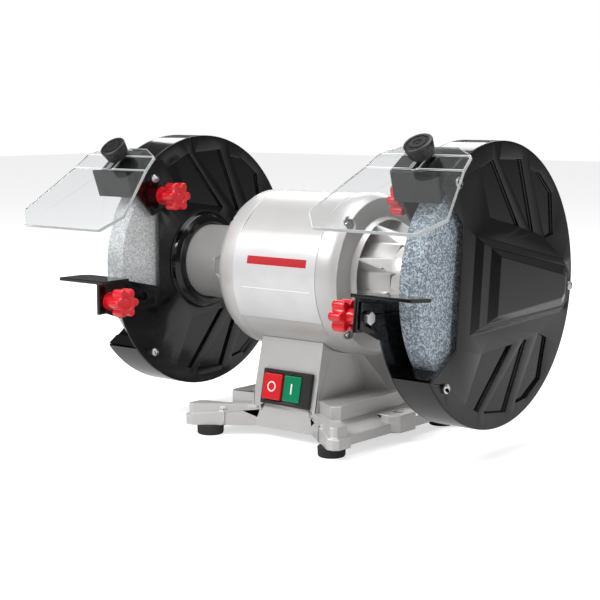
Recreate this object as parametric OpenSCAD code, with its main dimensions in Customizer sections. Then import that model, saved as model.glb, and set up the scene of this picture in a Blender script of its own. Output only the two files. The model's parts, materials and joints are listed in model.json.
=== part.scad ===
// Bench grinder with two wheels. X runs along the shaft, the operator stands on
// the -Y side, and Z is up. The origin is on the bench, below the shaft centre.

/* [Shaft and motor] */
// Height of the shaft above the bench
shaft_h = 145; // [140:1:175]
// Outer radius of the stator housing
housing_r = 70; // [68:1:84]
// Length of the stator housing
housing_l = 90; // [80:1:106]
// Wall of the stator housing, which also takes the bell screws
housing_wall = 10; // [9:1:12]
// Length of the bell drum beyond the stator housing
bell_drum_l = 21; // [18:1:26]
// Radius of the neck that carries each guard
neck_r = 34; // [32:1:38]
// Radius of the shaft in its bearings
shaft_r = 10; // [8:1:11]
// Radius of the spindle that carries each wheel
spindle_r = 8; // [6:0.5:9]
// Outer radius of each ball bearing
bearing_r = 23.5; // [22:0.5:25]
// Width of each ball bearing
bearing_w = 14; // [12:1:16]

/* [Wheels] */
// Radius of the grinding wheels
wheel_r = 100; // [75:1:104]
// Thickness of the grinding wheels
wheel_t = 20; // [16:1:25]
// Gap between the inner guard plate and the wheel
wheel_gap = 9; // [8:0.5:12]
// Radius of the clamping flanges
flange_r = 35; // [28:1:37]

/* [Guards] */
// Distance between the two inner guard plates
guard_span = 290; // [280:1:340]
// Outer radius of the guards
guard_r = 118; // [117:1:142]
// Width of the guards along the shaft
guard_t = 38; // [37:1:50]
// Thickness of the guard sheet
sheet = 1.5; // [1.2:0.1:2]
// Depth of the pressed panels
panel_d = 2.5; // [1.5:0.5:4]
// Angle that the right guard is clamped at
right_turn = -5; // [-8:1:8]
// Angle that the left guard is clamped at
left_turn = 0; // [-8:1:8]
// Distance from the shaft back to the front edge of the cover
mouth_y = 58; // [54:1:66]
// Height of the cover's raised centre panel
boss_h = 9; // [8:0.5:14]

/* [Tool rests] */
// Thickness of the rest plate
rest_t = 3; // [2.5:0.5:4]
// Length of the rest's leg
leg_l = 70; // [64:1:80]
// Height of the rest's leg
leg_h = 27; // [24:1:32]
// Width of the rest's table across the wheel
table_w = 56; // [50:1:64]
// Depth of the rest's table
table_d = 33; // [28:1:38]
// Radius of the clamp bolts
bolt_r = 3; // [2.5:0.5:4]
// Radius of the lobed clamp knobs
knob_r = 13.5; // [11:0.5:15]
// Thickness of the lobed head of a clamp knob
knob_t = 12; // [9:1:14]

/* [Eye shields] */
// Slope of the eye shields from level
shield_slope = 39.5; // [30:0.5:48]
// Thickness of the eye shields
shield_t = 3; // [2.5:0.5:4]
// Half of the front edge of an eye shield
shield_front_half = 48; // [40:1:56]
// Half of the widest part of an eye shield
shield_wide_half = 64; // [58:1:70]
// Length of the eye shield from the front edge to its bend
shield_l = 77; // [64:1:90]
// Radius of the knurled knobs
knurl_r = 12; // [10:0.5:15]
// Height of the knurled knobs
knurl_h = 13; // [12:1:18]

/* [Base] */
// Half of the width over the front corners
base_half_w = 87; // [84:1:100]
// Distance from the shaft forward to the front of the base
base_front = 92; // [88:1:104]
// Distance from the shaft back to the rear of the base
base_back = 104; // [96:1:120]
// Height of the rubber feet
foot_h = 9; // [7:1:14]
// Radius of the rubber feet
foot_r = 12; // [10:0.5:14]
// Height of the corner blocks above the feet
corner_h = 19; // [17:1:22]
// Height of the deck above the feet
deck_h = 29; // [26:1:34]
// Half of the width of the deck
deck_half_w = 62; // [58:1:70]
// Half of the width of the pedestal's front face
pedestal_half_w = 32; // [30:1:38]
// Wall of the base casting
base_wall = 4; // [3:0.5:6]
// Lean of the pedestal's front face from upright
face_lean = 11.5; // [6:0.5:16]
// Half of the distance between the two bench bolt holes
ear_half = 75; // [72:1:80]
// Radius of the bench bolt holes
ear_hole_r = 4.5; // [3:0.25:5]

/* [Switch] */
// Width of the switch frame
switch_w = 54; // [50:1:58]
// Height of the switch frame
switch_h = 31; // [28:1:34]
// Travel of each push button
button_travel = 2.5; // [1.5:0.5:4]

/* [Hidden] */
$fn = 96;

cut = 0.5;            // how far a cutter reaches past a face
fit = 0.05;           // radial clearance of a running or sliding fit
gap = 0.3;            // clearance between parts that move past each other

left = -1;
right = 1;

// Motor stations along the shaft, measured outward from the centre
housing_half = housing_l / 2;
drum_end = housing_half + bell_drum_l;
plate_in = guard_span / 2;
plate_out = plate_in + sheet;
cover_out = plate_in + guard_t;
cover_in = cover_out - sheet;
cone_end = drum_end + 38;
stator_r = housing_r - housing_wall;
stator_half = housing_half - 6;
rotor_r = 38;
air_gap = 0.5;
bell_wall = 6;
bearing_out = plate_in - 12;
bearing_in = bearing_out - bearing_w;
bell_screw_ring = housing_r - housing_wall / 2 - 1;
bell_screw_r = 2;
bell_screw_head_r = 3.8;
bell_seat = drum_end - 5;
guard_screw_ring = 29;
hub_hole_r = 20;

// Wheel stations
wheel_in = plate_in + wheel_gap;
wheel_out = wheel_in + wheel_t;
blotter_t = 0.6;
flange_t = 5;
flange_in = wheel_in - blotter_t - flange_t;
flange_out = wheel_out + blotter_t;
nut_in = flange_out + flange_t;
nut_t = 8;
spindle_end = nut_in + nut_t + 2;

// Guard outline points, as [y, z] from the shaft
mouth_top = 48;
mouth_bottom = -51;
guard_screw_pos = [[-71, 80], [-71, -80], [guard_r - 6, 0]];
mouth_upper_run = [-90, 77] * (guard_r / 118);
mouth_lower_run = [-93, -73] * (guard_r / 118);
panel_rim = guard_r - 12;

// Tool rest
rest_bolt_y = -128;
rest_bolt_z = -26.5;
leg_front = -140;
leg_top = -11;
leg_in = plate_in - rest_t;
slot_front = -134;
slot_back = -80;
slot_half = bolt_r + 0.4;
tongue_front = rest_bolt_y - 8.6;
tongue_top = rest_bolt_z + 12.6;
tongue_bottom = rest_bolt_z - 8.8;

// Shield arm: it tilts about the top guard screw, and a lobed knob clamps it through an arc slot
arm_pivot = guard_screw_pos[0];
arm_lock = [-60, 64];
arm_tilt_up = 20;
arm_tilt_down = 15;
arm_t = 2.5;
arm_in = plate_in - arm_t;
shield_bend = [-102.5, 87];
shield_x = plate_in + wheel_gap + wheel_t / 2;
stud_r = 3;
stud_s = 16;
shield_upper_l = 18;
shield_top_l = 28;
arm_plate_l = 29;
arm_plate_out = shield_x + 12;
arrester_out = shield_x + 22;
arrester_l = 25;

// Lobed knob stations, inward from the plate that it clamps
washer_t = 1.2;
knob_neck_l = 11;
bolt_in_head = 6;

// Base
deck_z = foot_h + deck_h;
corner_z = foot_h + corner_h;
face_foot_y = -56.5;          // front face of the pedestal, level with the underside
strip_w = 7;                  // slanting strip along the left edge of that face
pedestal_back = 50;
fold_top_y = -6;              // where each side wall turns outward, at the top
fold_foot_y = 22;             // and at the deck
rail_z = foot_h + 8;          // outer edge of the rails along the sides
rail_half_w = base_half_w - 7;
block_step = 12.5;            // height at which a corner block steps in
block_inset = 3;
ear_y = (base_back - base_front) / 2 + 4;
ear_h = 16;
ear_out = base_half_w;
foot_x = base_half_w - 18;
foot_front = -base_front + 16.5;
foot_back = base_back - 16.5;
plate_sink = 2;
plate_half_w = deck_half_w + 1;
plate_front = face_foot_y + 6;
plate_back = base_back - 30;
switch_z = 45;
gland_z = 52;
gland_r = 9;

origin_y = 23;                // shaft's place behind the middle of the whole machine

label_top = -120;
label_angle = 62;
label_l = 92;
label_t = 0.4;

bezel = 1.6;
switch_depth = 24;
stop_x = -13.7;
start_x = 7.2;
stop_w = 20.5;
start_w = 19;
button_h = 23;
stem_depth = 11.7;

// ---- helpers ----

// Turns a shape that was made along +Z so that it runs along +X
module along_x() {
    rotate([0, 90, 0]) children();
}

// Extrudes an outline drawn as [y, z] along X, from x0 on
module sheet_yz(x0, t) {
    translate([x0, 0, 0]) rotate([90, 0, 90]) linear_extrude(t) children();
}

// Puts a shape made for the right side, with the shaft at the origin, on either side
module on_side(side) {
    turn = side > 0 ? right_turn : left_turn;
    translate([0, 0, shaft_h]) rotate([turn, 0, 0]) mirror([side > 0 ? 0 : 1, 0, 0]) children();
}

// The same for what spins with the shaft or belongs to the motor
module on_shaft(side) {
    translate([0, 0, shaft_h]) mirror([side > 0 ? 0 : 1, 0, 0]) children();
}

module rod_x(x0, x1, r) {
    translate([x0, 0, 0]) along_x() cylinder(h = x1 - x0, r = r);
}

module tube_x(x0, x1, r_out, r_in) {
    difference() {
        rod_x(x0, x1, r_out);
        rod_x(x0 - cut, x1 + cut, r_in);
    }
}

// Places children at [y, z]
module at_yz(p) {
    translate([0, p[0], p[1]]) children();
}

function unit(v) = v / norm(v);
function left_of(v) = [-v[1], v[0]];

// A closed outline moved inward by d, for points that run counter-clockwise
function inset(pts, d) = [
    for (i = [0 : len(pts) - 1])
        let (n = len(pts),
             a = unit(pts[i] - pts[(i + n - 1) % n]),
             b = unit(pts[(i + 1) % n] - pts[i]),
             m = left_of(a) + left_of(b))
            pts[i] + m * d / (1 + left_of(a) * left_of(b))
];

// ---- base ----

function block_outline() = [
    [base_half_w, -base_front + 4], [base_half_w, -base_front + 20],
    [rail_half_w, -base_front + 26], [base_half_w - 28, -base_front + 31],
    [pedestal_half_w + 8, face_foot_y + 8], [pedestal_half_w - 4, face_foot_y + 3],
    [base_half_w - 10, -base_front], [base_half_w - 4, -base_front]
];

function deck_outline() = [
    [-pedestal_half_w, face_foot_y + 10], [pedestal_half_w, face_foot_y + 10],
    [deck_half_w - 6, face_foot_y - 4], [deck_half_w, face_foot_y + 3],
    [deck_half_w, base_back - 32], [deck_half_w - 8, base_back - 24],
    [-deck_half_w + 8, base_back - 24], [-deck_half_w, base_back - 32],
    [-deck_half_w, face_foot_y + 3], [-deck_half_w + 6, face_foot_y - 4]
];

function pedestal_outline() = [
    [-pedestal_half_w - strip_w, face_foot_y + 6], [-pedestal_half_w, face_foot_y],
    [pedestal_half_w, face_foot_y], [pedestal_half_w, fold_foot_y], [pedestal_half_w, pedestal_back],
    [-pedestal_half_w, pedestal_back], [-pedestal_half_w, fold_top_y]
];

// Half of the pedestal's flared rear at one level: where it turns outward, and how wide it gets
function flare_outline(fold_y, half_w, inward) = [
    [-pedestal_half_w + inward, fold_y + inward], [pedestal_half_w - inward, fold_y + inward],
    [half_w - inward, pedestal_back - inward], [-half_w + inward, pedestal_back - inward]
];

// Moves children to the pedestal's front face, with +Z along its outward normal
module on_face(z) {
    translate([0, face_foot_y + (z - foot_h) * tan(face_lean), z]) rotate([90 - face_lean, 0, 0]) children();
}

module ear(side) {
    mirror([side > 0 ? 0 : 1, 0, 0]) translate([0, ear_y, foot_h]) linear_extrude(ear_h) polygon([
        [deck_half_w - 1, -19], [rail_half_w - 1, -18], [ear_out, -11],
        [ear_out, 11], [rail_half_w - 1, 18], [deck_half_w - 1, 19]]);
}

// Corner block with a stepped top; its arm rises towards the pedestal
module corner_block() {
    translate([0, 0, foot_h]) {
        difference() {
            linear_extrude(corner_h) polygon(block_outline());
            translate([base_half_w - 30, 0, block_step]) rotate([0, 6, 0])
                translate([-100, -2 * base_front, 0]) cube([200, 2 * base_front, 40]);
        }
        linear_extrude(corner_h) polygon(inset(block_outline(), block_inset));
    }
}

// Rail along one side, its top sloping down outward
module rail(side) {
    mirror([side > 0 ? 0 : 1, 0, 0]) translate([0, base_back - 16, 0]) rotate([90, 0, 0])
        linear_extrude(base_back + base_front - 34) polygon([
            [deck_half_w - 8, foot_h], [rail_half_w, foot_h], [rail_half_w, rail_z],
            [deck_half_w - 1, rail_z + 8], [deck_half_w - 8, rail_z + 8]]);
}

// The flared rear of the pedestal, from the deck up to the motor
module flare(inward) {
    hull() {
        translate([0, 0, foot_h]) linear_extrude(1)
            polygon(flare_outline(fold_foot_y + 12, deck_half_w - 4, inward));
        translate([0, 0, shaft_h - 46]) linear_extrude(1)
            polygon(flare_outline(fold_top_y - 4, pedestal_half_w + 5, inward));
    }
}

module base_solid() {
    base_mid = (base_back - base_front) / 2;
    for (sx = [0, 1]) mirror([sx, 0, 0]) {
        corner_block();
        translate([0, 2 * base_mid, 0]) mirror([0, 1, 0]) corner_block();
    }
    translate([0, 0, foot_h]) linear_extrude(deck_h) polygon(deck_outline());
    difference() {
        union() {
            translate([0, 0, foot_h]) linear_extrude(shaft_h - foot_h) polygon(pedestal_outline());
            flare(0);
        }
        on_face(foot_h) translate([-100, -20, 0]) cube([200, 200, 60]);
    }
    for (side = [left, right]) {
        ear(side);
        rail(side);
    }
}

module base() {
    color([0.72, 0.71, 0.70]) difference() {
        base_solid();
        // saddle for the stator housing
        translate([0, 0, shaft_h]) rod_x(-100, 100, housing_r);
        translate([-100, -100, shaft_h - 40]) cube([200, 200, 80]);
        // hollow pedestal, open at the bottom
        difference() {
            union() {
                translate([0, 0, foot_h - cut]) linear_extrude(shaft_h - housing_r - 6 - foot_h)
                    polygon(inset(pedestal_outline(), base_wall));
                intersection() {
                    flare(base_wall);
                    translate([-100, -100, foot_h]) cube([200, 200, shaft_h - housing_r - 6 - foot_h]);
                }
            }
            on_face(foot_h) translate([-100, -20, -base_wall]) cube([200, 200, 60]);
        }
        translate([0, 0, foot_h - cut]) linear_extrude(deck_h - base_wall + cut)
            polygon(inset(deck_outline(), base_wall));
        // recess for the bottom plate
        translate([-plate_half_w, plate_front, foot_h - cut])
            cube([2 * plate_half_w, plate_back - plate_front, plate_sink + cut]);
        // opening for the switch
        on_face(switch_z) translate([0, 0, -base_wall])
            cube([switch_w - 2 * bezel + 2 * gap, switch_h - 2 * bezel + 2 * gap, 6 * base_wall], center = true);
        // bench bolt holes
        for (side = [left, right])
            translate([side * ear_half, ear_y, foot_h - cut]) cylinder(h = corner_h + 2 * cut, r = ear_hole_r);
        // foot screw holes
        for (sx = [left, right], y = [foot_front, foot_back])
            translate([sx * foot_x, y, foot_h - cut]) cylinder(h = corner_h - 4, r = 2.5 + fit);
        // wire way into the motor, and the hole for the cable gland
        translate([0, 0, shaft_h - housing_r - 20]) cylinder(h = 60, r = 7);
        translate([0, pedestal_back + cut, gland_z]) rotate([90, 0, 0]) cylinder(h = 14, r = gland_r + fit);
    }
}

module base_plate() {
    color([0.35, 0.35, 0.36])
        translate([-plate_half_w + gap, plate_front + gap, foot_h])
            cube([2 * (plate_half_w - gap), plate_back - plate_front - 2 * gap, plate_sink - fit]);
}

module rubber_feet() {
    color([0.06, 0.06, 0.06])
        for (sx = [left, right], y = [foot_front, foot_back]) translate([sx * foot_x, y, 0]) difference() {
            rotate_extrude() polygon([[0, 0], [foot_r - 1.5, 0], [foot_r - 0.3, 1.2], [foot_r, foot_h], [0, foot_h]]);
            translate([0, 0, -cut]) cylinder(h = foot_h + 2 * cut, r = 2.5 + fit);
            translate([0, 0, -cut]) cylinder(h = 4 + cut, r = 5.5);
        }
}

module foot_screws() {
    color([0.75, 0.75, 0.77])
        for (sx = [left, right], y = [foot_front, foot_back]) translate([sx * foot_x, y, 0]) {
            translate([0, 0, 4]) cylinder(h = foot_h + corner_h - 9, r = 2.5);
            translate([0, 0, 1.5]) cylinder(h = 2.5, r = 4.6);
        }
}

// ---- motor ----

module motor_housing() {
    color([0.74, 0.73, 0.72]) on_shaft(right) difference() {
        rod_x(-housing_half, housing_half, housing_r);
        rod_x(-housing_half - cut, housing_half + cut, stator_r);
        // long flats along the upper front and back
        for (s = [0, 1]) mirror([0, s, 0]) rotate([-43.5, 0, 0])
            translate([-60, -housing_r - 9, -30]) cube([120, 10, 60]);
        for (e = [left, right], a = [45, 135, 225, 315]) rotate([a, 0, 0])
            translate([e * housing_half, 0, bell_screw_ring]) along_x()
                cylinder(h = 28, r = bell_screw_r + fit, center = true);
        // wire way from the base
        translate([0, 0, -housing_r - 1]) cylinder(h = 14, r = 6);
    }
}

function bell_profile() = [
    [housing_r, housing_half], [housing_r, drum_end - 7], [housing_r - 4, drum_end],
    [housing_r - 14, drum_end + 2], [neck_r + 16, drum_end + 2], [neck_r, cone_end],
    [neck_r, plate_in], [14, plate_in], [14, bearing_out], [bearing_r, bearing_out],
    [bearing_r, bearing_in], [neck_r - bell_wall, bearing_in],
    [neck_r - bell_wall, drum_end - 9], [stator_r - 8, drum_end - 9],
    [stator_r - 2, drum_end - 14], [stator_r - 2, housing_half]
];

module bell(side) {
    flat_at = neck_r + 1.6;
    guard_turn = side > 0 ? right_turn : left_turn;
    color([0.74, 0.73, 0.72]) on_shaft(side) difference() {
        along_x() rotate_extrude() polygon(bell_profile());
        // pressed-in flutes between the ribs
        for (a = [0 : 45 : 315]) rotate([a, 0, 0]) intersection() {
            translate([drum_end - 4, 0, 0]) rotate([90, 0, 90]) linear_extrude(46)
                polygon([[-7.6, flat_at], [7.6, flat_at], [26, flat_at + 16], [-26, flat_at + 16]]);
            rod_x(drum_end - 5, drum_end + 50, neck_r + 13.5);
        }
        for (a = [45, 135, 225, 315]) rotate([a, 0, 0]) translate([0, 0, bell_screw_ring]) {
            rod_x(bell_seat, drum_end + 4, bell_screw_head_r + 1);
            rod_x(housing_half - cut, bell_seat + cut, bell_screw_r + fit);
        }
        for (a = [60, 180, 300]) rotate([a + guard_turn, 0, 0]) translate([0, 0, guard_screw_ring])
            rod_x(plate_in - 9, plate_in + cut, 2 + fit);
    }
}

module left_bell() { bell(left); }
module right_bell() { bell(right); }

module bell_screws() {
    color([0.8, 0.8, 0.82]) for (side = [left, right]) on_shaft(side)
        for (a = [45, 135, 225, 315]) rotate([a, 0, 0]) translate([0, 0, bell_screw_ring]) {
            rod_x(housing_half - 11, bell_seat, bell_screw_r);
            difference() {
                rod_x(bell_seat, bell_seat + 3, bell_screw_head_r);
                translate([bell_seat + 2.2, 0, 0]) cube([2, 1, 5], center = true);
                translate([bell_seat + 2.2, 0, 0]) cube([2, 5, 1], center = true);
            }
        }
}

module rating_plate() {
    color([0.80, 0.80, 0.80]) translate([-label_l / 2, 0, shaft_h]) along_x()
        rotate([0, 0, label_top]) rotate_extrude(angle = label_angle)
            translate([housing_r + fit, 0]) square([label_t, label_l]);
}

module stator_core() {
    color([0.42, 0.43, 0.45]) on_shaft(right) difference() {
        rod_x(-stator_half, stator_half, stator_r - 0.02);
        rod_x(-stator_half - cut, stator_half + cut, rotor_r + air_gap);
        for (a = [0 : 15 : 345]) rotate([a, 0, 0]) translate([0, 0, rotor_r + 8])
            cube([2 * stator_half + 1, 4, 9], center = true);
    }
}

module stator_windings() {
    color([0.72, 0.38, 0.16]) on_shaft(right) for (side = [left, right]) mirror([side > 0 ? 0 : 1, 0, 0])
        translate([stator_half + 0.1, 0, 0]) along_x() rotate_extrude()
            polygon([[rotor_r + 4, 0], [stator_r - 6, 0], [stator_r - 5, 8], [stator_r - 9, 14],
                     [rotor_r + 7, 14], [rotor_r + 4, 10]]);
}

module rotor_core() {
    color([0.5, 0.5, 0.52]) on_shaft(right) difference() {
        union() {
            rod_x(-stator_half, stator_half, rotor_r);
            rod_x(-stator_half - 7, stator_half + 7, rotor_r - 5);
        }
        rod_x(-stator_half - 8, stator_half + 8, shaft_r + 2);
    }
}

module shaft() {
    color([0.78, 0.78, 0.8]) on_shaft(right) {
        rod_x(-stator_half - 7, stator_half + 7, shaft_r + 2 - 0.02);
        rod_x(-bearing_out, bearing_out, shaft_r);
        for (side = [left, right]) mirror([side > 0 ? 0 : 1, 0, 0]) {
            rod_x(bearing_out, flange_in - fit, shaft_r + 1.5);
            rod_x(bearing_out, spindle_end, spindle_r);
        }
        rod_x(-bearing_in + 0.3, -stator_half - 7, shaft_r + 1.5);
        rod_x(stator_half + 7, bearing_in - 0.3, shaft_r + 1.5);
    }
}

module bearing(side) {
    ball_r = 3.4;
    ball_ring = (shaft_r + bearing_r) / 2;
    color([0.82, 0.82, 0.84]) on_shaft(side) {
        difference() {
            tube_x(bearing_in, bearing_out - gap, bearing_r - 0.02, ball_ring + 2);
            translate([(bearing_in + bearing_out) / 2, 0, 0]) along_x()
                rotate_extrude() translate([ball_ring, 0]) circle(r = ball_r + fit, $fn = 32);
        }
        difference() {
            tube_x(bearing_in, bearing_out - gap, ball_ring - 2, shaft_r + 0.02);
            translate([(bearing_in + bearing_out) / 2, 0, 0]) along_x()
                rotate_extrude() translate([ball_ring, 0]) circle(r = ball_r + fit, $fn = 32);
        }
        for (a = [0 : 45 : 315]) rotate([a, 0, 0])
            translate([(bearing_in + bearing_out) / 2, 0, ball_ring]) sphere(r = ball_r, $fn = 32);
    }
}

module left_bearing() { bearing(left); }
module right_bearing() { bearing(right); }

module wave_washer() {
    color([0.7, 0.7, 0.72]) on_shaft(left) tube_x(bearing_in - 1, bearing_in - 0.05, bearing_r - 4, shaft_r + 4);
}

// ---- electrics in the base ----

cap_r = 15;
cap_half = 20;
cap_pos = [0, 8, 34];

module capacitor() {
    color([0.85, 0.85, 0.86]) translate(cap_pos) {
        rod_x(-cap_half, cap_half, cap_r);
        for (s = [-4, 4]) translate([0, s, 0]) rod_x(cap_half, cap_half + 5, 1.2);
    }
}

module capacitor_clip() {
    foot_t = 1.5;
    color([0.6, 0.6, 0.62]) translate(cap_pos) difference() {
        union() {
            rod_x(-6, 6, cap_r + 1.6);
            translate([-6, -cap_r - 8, -cap_pos[2] + foot_h + plate_sink + fit]) cube([12, 2 * cap_r + 16, foot_t]);
            translate([-6, -8, -cap_pos[2] + foot_h + plate_sink + fit]) cube([12, 16, 10]);
        }
        rod_x(-7, 7, cap_r + 0.05);
        for (s = [-1, 1]) translate([0, s * (cap_r + 4), -40]) cylinder(h = 40, r = 2);
    }
}

module button_well(x, w) {
    depth = stem_depth + button_travel + gap;
    translate([x - w / 2 - gap, -button_h / 2 - gap, -depth]) cube([w + 2 * gap, button_h + 2 * gap, depth + 18]);
}

module switch_housing() {
    color([0.07, 0.07, 0.08]) on_face(switch_z) difference() {
        union() {
            translate([-switch_w / 2, -switch_h / 2, 0.02]) cube([switch_w, switch_h, 4]);
            translate([-switch_w / 2 + bezel, -switch_h / 2 + bezel, -switch_depth])
                cube([switch_w - 2 * bezel, switch_h - 2 * bezel, switch_depth + 1]);
        }
        button_well(stop_x, stop_w);
        button_well(start_x, start_w);
    }
}

module push_button(x, w, proud) {
    on_face(switch_z) {
        translate([x - w / 2, -button_h / 2, -8]) cube([w, button_h, 8 + proud]);
        translate([x - 3, -3, -stem_depth]) cube([6, 6, 6]);
    }
}

module stop_button() {
    color([0.82, 0.06, 0.07]) push_button(stop_x, stop_w, 7);
}

module start_button() {
    color([0.0, 0.5, 0.3]) push_button(start_x, start_w, 5);
}

module cable_gland() {
    hex_r = 12.5;
    color([0.08, 0.08, 0.08]) translate([0, pedestal_back, gland_z]) rotate([-90, 0, 0]) difference() {
        union() {
            translate([0, 0, -12]) cylinder(h = 12, r = gland_r);
            cylinder(h = 6, r = hex_r, $fn = 6);
            translate([0, 0, 6]) cylinder(h = 3, r = 9.5);
            translate([0, 0, 9]) rotate_extrude() polygon([[0, 0], [11, 0], [11, 6], [8.5, 11], [0, 11]]);
            translate([0, 0, -12 - 4 + 0.02]) cylinder(h = 4, r = hex_r, $fn = 6);
        }
        translate([0, 0, -20]) cylinder(h = 60, r = 4);
    }
}

// ---- guards ----

// Right-hand front opening, drawn past the rim
module mouth(front) {
    polygon([mouth_upper_run * 1.5, [-front, mouth_top], [-front, mouth_bottom], mouth_lower_run * 1.5,
             [-2 * guard_r, -guard_r], [-2 * guard_r, guard_r]]);
}

// The inner plate's opening is cut shorter, so that the rest has something to bolt to
module plate_mouth() {
    polygon([mouth_upper_run * 1.5, [-61, mouth_top], [-61, -19], [tongue_front, tongue_top],
             [-2 * guard_r, tongue_top], [-2 * guard_r, guard_r]]);
}

function panel(i) = [
    [[29, 47], [-20.8, 104], [-40.8, 95.3], [-20.5, 53.5]],
    [[51, 44], [23, 106], [-15, 104.5], [43.5, 44]],
    [[83.5, 43.5], [76.5, 80], [53, 96.5], [34, 100.5], [67, 39]]
][i];

// Hollow pans for the six pressed panels, sunk along +X from x0
module panel_pans(x0) {
    for (i = [0 : 2], s = [0, 1]) mirror([0, 0, s]) difference() {
        sheet_yz(x0, panel_d + sheet) polygon(panel(i));
        sheet_yz(x0 - cut, panel_d + cut) polygon(inset(panel(i), sheet));
    }
}

module panel_holes(x0) {
    for (i = [0 : 2], s = [0, 1]) mirror([0, 0, s])
        sheet_yz(x0 - cut, sheet + 2 * cut) polygon(inset(panel(i), sheet / 2));
}

module guard_plate(side) {
    color([0.05, 0.05, 0.055]) on_side(side) {
        difference() {
            union() {
                difference() {
                    rod_x(plate_in, plate_out, guard_r);
                    sheet_yz(plate_in - cut, sheet + 2 * cut) plate_mouth();
                }
                // tongue for the tool rest bolt
                sheet_yz(plate_in, sheet) polygon([[-61, -19], [tongue_front, tongue_top],
                    [tongue_front, tongue_bottom], [-112, -44], [-80, -44]]);
            }
            panel_holes(plate_in);
            rod_x(plate_in - cut, plate_out + cut, hub_hole_r);
            for (a = [60, 180, 300]) rotate([a, 0, 0]) translate([0, 0, guard_screw_ring])
                rod_x(plate_in - cut, plate_out + cut, 2.3);
            for (p = guard_screw_pos) at_yz(p) rod_x(plate_in - cut, plate_out + cut, 2.3);
            at_yz([rest_bolt_y, rest_bolt_z]) rod_x(plate_in - cut, plate_out + cut, bolt_r + fit);
            at_yz(arm_lock) rod_x(plate_in - cut, plate_out + cut, bolt_r + fit);
        }
        panel_pans(plate_in);
        // dished collar round the neck
        translate([plate_in, 0, 0]) along_x() rotate_extrude()
            polygon([[46, 1], [46, 0], [44.5, -4], [41, -7.5], [37, -8.5], [neck_r + gap, -8],
                     [neck_r + gap, -6.5], [36.8, -7], [40.2, -6.2], [43.2, -3.2], [44.4, 0], [44.4, 1]]);
    }
}

module guard_band(side) {
    band_in = plate_out;
    band_out = cover_in;
    color([0.05, 0.05, 0.055]) on_side(side) {
        difference() {
            tube_x(band_in, band_out, guard_r, guard_r - sheet);
            sheet_yz(band_in - cut, guard_t) mouth(mouth_y);
        }
        // shelf turned in at the lower front
        sheet_yz(band_in, band_out - band_in) polygon([mouth_lower_run * 0.995,
            mouth_lower_run * 0.995 + [10.5, 6.8], mouth_lower_run * 0.995 + [11.1, 5.5],
            mouth_lower_run * 0.98 + [2, 0]]);
        // posts that the cover screws thread into
        for (p = guard_screw_pos) at_yz(p) tube_x(band_in, band_out, 4.2, 2 + fit);
        sheet_yz(band_in, band_out - band_in) polygon([[guard_r - 3.2, -2], [guard_r - 1, -2], [guard_r - 1, 2], [guard_r - 3.2, 2]]);
    }
}

function boss_outline(front, front_half, back, back_half, chamfer) = [
    [front, -front_half], [back - chamfer, -back_half], [back, -back_half + chamfer],
    [back, back_half - chamfer], [back - chamfer, back_half], [front, front_half]
];

module boss_level(x, front, front_half, back, back_half, chamfer) {
    sheet_yz(x - 0.1, 0.1) polygon(boss_outline(front, front_half, back, back_half, chamfer));
}

// Raised centre panel in two steps; t takes it inward for the hollow behind it
module boss(t) {
    low = cover_out + boss_h * 0.45 - t;
    high = cover_out + boss_h - t;
    base_x = cover_in + 0.1 - (t > 0 ? cut : 0);
    hull() {
        boss_level(base_x, -42 + t, 42 - t, guard_r - 9 - t, 24 - t, 8);
        boss_level(low, -33 + t, 34 - t, guard_r - 12 - t, 19 - t, 7);
    }
    hull() {
        boss_level(low - 0.2, -22 + t, 31 - t, guard_r - 16 - t, 17 - t, 5);
        boss_level(high, -14 + t, 24 - t, guard_r - 26 - t, 10 - t, 4);
    }
}

module guard_cover(side) {
    color([0.05, 0.05, 0.055]) on_side(side) {
        difference() {
            union() {
                difference() {
                    rod_x(cover_in, cover_out, guard_r);
                    sheet_yz(cover_in - cut, sheet + 2 * cut) mouth(mouth_y);
                    panel_holes(cover_in);
                }
                boss(0);
            }
            boss(sheet);
            for (p = guard_screw_pos) at_yz(p) rod_x(cover_in - cut, cover_out + cut, 2.3);
        }
        // pressed panels, sunk inward
        translate([2 * cover_out, 0, 0]) mirror([1, 0, 0]) panel_pans(cover_out);
    }
}

module guard_screws(side) {
    color([0.8, 0.8, 0.82]) on_side(side) {
        for (i = [0 : 2]) at_yz(guard_screw_pos[i]) {
            nut_seat = i == 0 ? arm_in - gap : plate_in - 0.02;
            rod_x(nut_seat - 6, cover_out + 0.02, 2);
            rod_x(cover_out + 0.02, cover_out + 2.8, 4);
            translate([nut_seat - 3.2, 0, 0]) along_x() cylinder(h = 3.2, r = 4, $fn = 6);
        }
        for (a = [60, 180, 300]) rotate([a, 0, 0]) translate([0, 0, guard_screw_ring]) {
            rod_x(plate_in - 8, plate_out + 0.02, 2);
            rod_x(plate_out + 0.02, plate_out + 1.5, 3.5);
        }
    }
}

module left_guard_plate() { guard_plate(left); }
module right_guard_plate() { guard_plate(right); }
module left_guard_band() { guard_band(left); }
module right_guard_band() { guard_band(right); }
module left_guard_cover() { guard_cover(left); }
module right_guard_cover() { guard_cover(right); }
module left_guard_screws() { guard_screws(left); }
module right_guard_screws() { guard_screws(right); }

// ---- wheels ----

module wheel(side, tint) {
    color(tint) on_shaft(side) difference() {
        rod_x(wheel_in, wheel_out, wheel_r);
        rod_x(wheel_in - cut, wheel_out + cut, spindle_r + fit);
    }
}

module left_wheel() { wheel(left, [0.80, 0.81, 0.80]); }
module right_wheel() { wheel(right, [0.50, 0.55, 0.60]); }

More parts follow.
